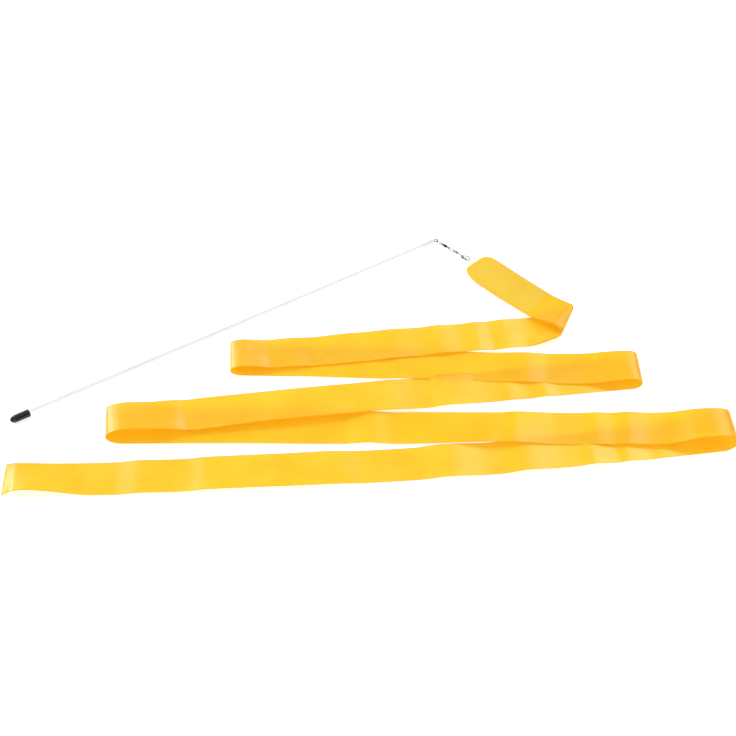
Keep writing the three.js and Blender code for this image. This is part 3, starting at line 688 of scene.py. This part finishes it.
chain_turn = math.radians(CHAIN_ANGLE)
chain_along = -vec(math.cos(chain_turn), math.sin(chain_turn))
chain_tip = vec(*TAB_END) - chain_along * CHAIN_LENGTH
thread_path = [(*(chain_tip + chain_along * x), CHAIN_HEIGHT + z)
               for x, z in closed_curve(THREAD_LOOP, THREAD_STEPS)]
thread = twisted_loop("thread_tie", thread_path, THREAD_RADIUS, 2, THREAD_TWISTS, THREAD_SPREAD)
thread.data.materials.append(thread_material("nylon_thread", (0.62, 0.6, 0.55), (0.86, 0.84, 0.78)))
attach(thread, "ribbon")
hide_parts("thread_loop")

# ---------------------------------------------------------------- hard pieces

WHITE_ROD = speckled("white_rod", (0.74, 0.74, 0.74), (0.79, 0.79, 0.786), 0.28, 0.42, 60.0, 0.05,
                     bump_distance=0.0002, Coat_Weight=0.25)
RUBBER = speckled("black_rubber", (0.003, 0.003, 0.003), (0.009, 0.009, 0.009), 0.1, 0.2, 900.0, 0.3,
                  Specular_IOR_Level=0.4)
FERRULE = speckled("ferrule_plastic", (0.68, 0.68, 0.675), (0.74, 0.74, 0.735), 0.3, 0.45, 400.0, 0.1)
STEEL = speckled("drawn_wire", (0.07, 0.07, 0.072), (0.15, 0.15, 0.155), 0.2, 0.36, 700.0, 0.1, metallic=1.0)
DARK_STEEL = speckled("darkened_steel", (0.035, 0.035, 0.038), (0.08, 0.08, 0.085), 0.22, 0.4, 800.0, 0.1,
                      metallic=1.0)
GREY_STEEL = speckled("turned_steel", (0.24, 0.24, 0.245), (0.38, 0.38, 0.39), 0.2, 0.35, 900.0, 0.1,
                      metallic=1.0)
PLATED = speckled("plated_hook", (0.36, 0.36, 0.365), (0.5, 0.5, 0.51), 0.12, 0.26, 500.0, 0.06,
                  metallic=1.0)

for node, made in {
    "wand_stick": WHITE_ROD, "end_cap": RUBBER, "tip_ferrule": FERRULE, "tip_eye": STEEL,
    "tip_link": STEEL, "upper_swivel_tip_eye": STEEL, "upper_swivel_barrel": DARK_STEEL,
    "upper_swivel_link_eye": STEEL, "middle_link": DARK_STEEL, "lower_swivel_eye": STEEL,
    "lower_swivel_barrel": GREY_STEEL, "snap_hook": PLATED, "latch": PLATED, "latch_pin": STEEL,
    "latch_spring": STEEL,
}.items():
    dress(node, made)

# ---------------------------------------------------------------- floor and light

floor_corners = [(x * FLOOR_REACH, y * FLOOR_REACH, 0) for x, y in ((-1, -1), (1, -1), (1, 1), (-1, 1))]
floor = new_object("floor", floor_corners, [(0, 1, 2, 3)], smooth_shade=False)
floor.location.z = -FLOOR_DROP
floor_material, _, floor_shader = material("floor", (0.7, 0.7, 0.7), 0.7)
floor_shader.inputs["Specular IOR Level"].default_value = 0.2
floor_shader.inputs["Emission Color"].default_value = (1, 1, 1, 1)
floor_shader.inputs["Emission Strength"].default_value = 0.55
floor.data.materials.append(floor_material)


def softbox(name, place, size, power, glossy=True):
    """A rectangle of light, pointed at the middle of the object and hidden from the camera."""
    data = bpy.data.lights.new(name, "AREA")
    data.shape = "RECTANGLE"
    data.size, data.size_y = size
    data.energy = power
    lamp = bpy.data.objects.new(name, data)
    lamp.location = place
    lamp.rotation_euler = (-Vector(place)).to_track_quat("-Z", "Y").to_euler()
    lamp.visible_camera = False
    lamp.visible_glossy = glossy
    bpy.context.scene.collection.objects.link(lamp)


softbox("above", (-0.2, -0.8, 5.0), (5.2, 3.6), 56)
softbox("front", (0, -4.9, 1.8), (6.0, 2.6), 90)
# the fill lights the cloth without showing in its gloss
softbox("front_fill", (0, -4.9, 1.8), (6.0, 2.6), 185, glossy=False)
softbox("back_right", (2.7, 4.5, 4.1), (3.4, 3.0), 165)
softbox("back_left", (-3.1, 4.5, 4.0), (2.8, 3.0), 105)
softbox("left_low", (-3.9, 4.1, 1.6), (3.0, 2.0), 165)

world = bpy.data.worlds.new("world")
bpy.context.scene.world = world
world.use_nodes = True
world.node_tree.nodes["Background"].inputs[0].default_value = (1, 1, 1, 1)
world.node_tree.nodes["Background"].inputs[1].default_value = 0.26
